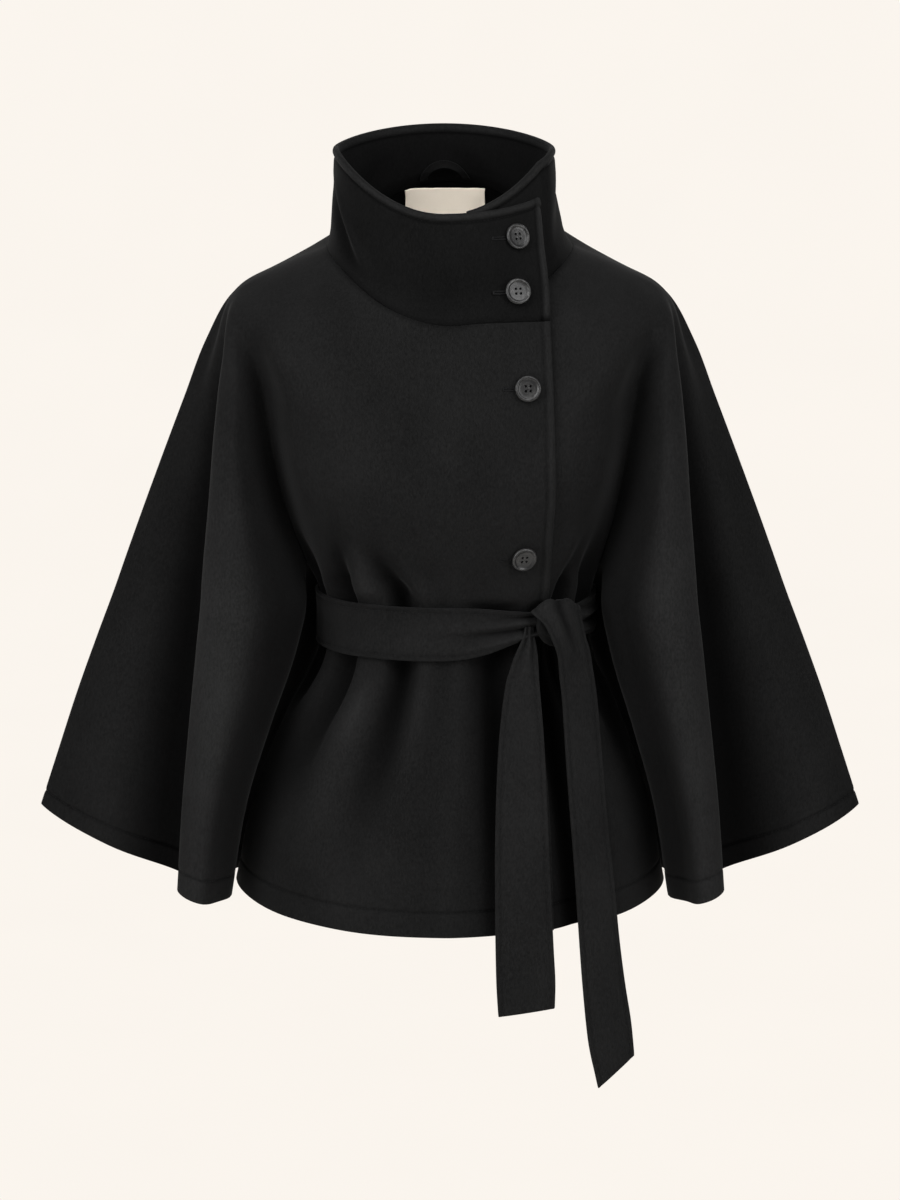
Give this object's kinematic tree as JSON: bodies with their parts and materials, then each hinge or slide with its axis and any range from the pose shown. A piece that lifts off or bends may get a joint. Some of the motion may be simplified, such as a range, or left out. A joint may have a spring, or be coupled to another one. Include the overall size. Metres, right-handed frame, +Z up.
{
  "type": "wool cape coat",
  "caption": "Belted wool cape coat with wide wing sleeves, a tall buttoned funnel collar and a side-lapped front, filled out as it is worn and open at neck, cuffs and hem.",
  "frame": {"origin": "middle of the neck base, at the height where the neck seam crosses the shoulders: the place where the coat hangs on its wearer", "axes": "+X to the wearer's left (the viewer's right), +Y to the back, +Z up"},
  "size_m": [0.827, 0.2945, 0.935],
  "materials": {
    "wool": "brushed melton wool, matt, with a short soft nap",
    "button": "polished dark marbled horn-like resin",
    "loop": "woven tape, slight sheen",
    "label": "plain woven satin, blank"
  },
  "bodies": {
    "root": {"front_right": "wool", "front_left": "wool", "back_right": "wool", "back_left": "wool", "collar": "wool", "belt": "wool", "belt_knot": "wool", "belt_tail_front": "wool", "belt_tail_rear": "wool", "button_1": "button", "button_2": "button", "button_3": "button", "button_4": "button", "hanger_loop": "loop", "label": "label"}
  },
  "joints": []
}
